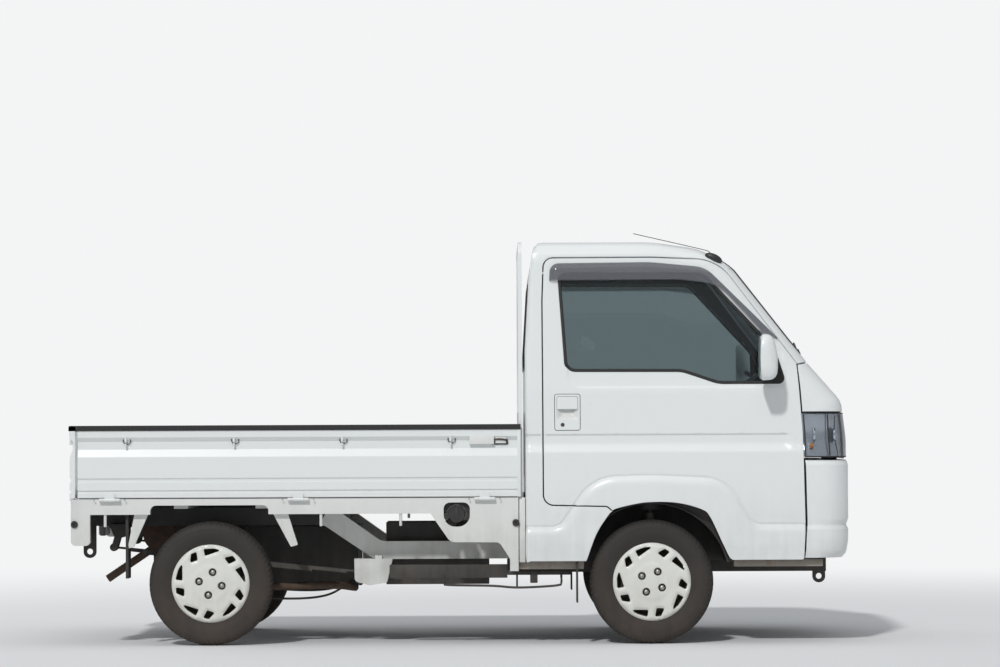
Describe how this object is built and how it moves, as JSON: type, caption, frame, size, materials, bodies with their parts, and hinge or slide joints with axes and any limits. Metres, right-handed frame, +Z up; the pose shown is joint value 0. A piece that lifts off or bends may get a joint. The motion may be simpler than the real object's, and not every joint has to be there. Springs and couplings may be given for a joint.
{
  "type": "kei truck",
  "caption": "Small cab-over pickup truck with a drop-side load bed, hinged doors, steered front wheels and a guard frame behind the cab",
  "frame": {"origin": "on the ground, below the middle of the truck's length and width", "axes": "+X forward, +Y to the truck's left, +Z up"},
  "size_m": [3.3949, 1.81, 1.7763],
  "materials": {
    "body_white": "gloss white enamel, a little weathered",
    "cap_white": "silver-white moulded plastic on a steel wheel",
    "chassis_black": "satin black chassis paint, dusty",
    "steel_dark": "dull grey-brown metal",
    "rusty_steel": "thin rust on an exhaust",
    "tyre_rubber": "matt black",
    "trim_black": "matt black moulding",
    "smoked_plastic": "smoked, see-through",
    "clear_glass": "clear, faint green",
    "lamp_lens": "clear lens over a bright reflector",
    "tail_lens": "red, amber and clear lens",
    "seat_cloth": "grey vinyl and cloth",
    "cabin_grey": "grained grey moulding"
  },
  "bodies": {
    "chassis": {"cab_shell": "body_white", "front_bumper": "body_white", "nose_panel": "body_white", "headlamps": "lamp_lens", "windscreen": "clear_glass", "rear_window": "clear_glass", "cab_floor": "cabin_grey", "dashboard": "cabin_grey", "seats": "seat_cloth", "steering_wheel": "trim_black", "guard_frame": "body_white", "bed_floor": "body_white", "bed_side_right": "body_white", "bed_side_left": "body_white", "rear_beam": "body_white", "tail_lamps": "tail_lens", "frame": "body_white", "engine_block": "steel_dark", "fuel_tank": "chassis_black", "silencer": "rusty_steel", "rear_axle": "steel_dark", "leaf_springs": "chassis_black", "front_suspension": "chassis_black", "aerial": "trim_black"},
    "side_gate_right_body": {"side_gate_right": "body_white"},
    "side_gate_left_body": {"side_gate_left": "body_white"},
    "tailgate_body": {"tailgate": "body_white"},
    "door_right_body": {"door_right": "body_white", "door_glass_right": "clear_glass", "door_visor_right": "smoked_plastic", "mirror_right": "body_white"},
    "steer_right_body": {"knuckle_right": "steel_dark"},
    "door_left_body": {"door_left": "body_white", "door_glass_left": "clear_glass", "door_visor_left": "smoked_plastic", "mirror_left": "body_white"},
    "steer_left_body": {"knuckle_left": "steel_dark"},
    "wheel_front_right_body": {"tyre_front_right": "tyre_rubber", "wheel_front_right": "cap_white"},
    "wheel_front_left_body": {"tyre_front_left": "tyre_rubber", "wheel_front_left": "cap_white"},
    "wheel_rear_right_body": {"tyre_rear_right": "tyre_rubber", "wheel_rear_right": "cap_white"},
    "wheel_rear_left_body": {"tyre_rear_left": "tyre_rubber", "wheel_rear_left": "cap_white"}
  },
  "joints": [
    {"name": "steering", "type": "hinge", "parent": "chassis", "child": "steer_right_body", "pos_m": [0.8215, -0.54, 0.267], "axis": [0, 0, 1], "range_deg": [-33, 33]},
    {"name": "steering_left", "type": "hinge", "parent": "chassis", "child": "steer_left_body", "pos_m": [0.8215, 0.54, 0.267], "axis": [0, 0, 1], "range_deg": [-33, 33]},
    {"name": "door_right_hinge", "type": "hinge", "parent": "chassis", "child": "door_right_body", "pos_m": [1.486, -0.734, 0.8], "axis": [0, 0, 1], "range_deg": [0, 65]},
    {"name": "door_left_hinge", "type": "hinge", "parent": "chassis", "child": "door_left_body", "pos_m": [1.486, 0.734, 0.8], "axis": [0, 0, -1], "range_deg": [0, 65]},
    {"name": "side_gate_right_hinge", "type": "hinge", "parent": "chassis", "child": "side_gate_right_body", "pos_m": [-0.7, -0.738, 0.628], "axis": [1, 0, 0], "range_deg": [0, 178]},
    {"name": "side_gate_left_hinge", "type": "hinge", "parent": "chassis", "child": "side_gate_left_body", "pos_m": [-0.7, 0.738, 0.628], "axis": [-1, 0, 0], "range_deg": [0, 178]},
    {"name": "tailgate_hinge", "type": "hinge", "parent": "chassis", "child": "tailgate_body", "pos_m": [-1.69, 0, 0.628], "axis": [0, -1, 0], "range_deg": [0, 178]},
    {"name": "wheel_front_right_spin", "type": "hinge", "parent": "steer_right_body", "child": "wheel_front_right_body", "pos_m": [0.8215, -0.645, 0.267], "axis": [0, 1, 0], "continuous": true},
    {"name": "wheel_front_left_spin", "type": "hinge", "parent": "steer_left_body", "child": "wheel_front_left_body", "pos_m": [0.8215, 0.645, 0.267], "axis": [0, 1, 0], "continuous": true},
    {"name": "wheel_rear_right_spin", "type": "hinge", "parent": "chassis", "child": "wheel_rear_right_body", "pos_m": [-1.0785, -0.645, 0.267], "axis": [0, 1, 0], "continuous": true},
    {"name": "wheel_rear_left_spin", "type": "hinge", "parent": "chassis", "child": "wheel_rear_left_body", "pos_m": [-1.0785, 0.645, 0.267], "axis": [0, 1, 0], "continuous": true}
  ],
  "couplings": [
    {"joint": "steering_left", "follows": "steering", "ratio": 1}
  ]
}
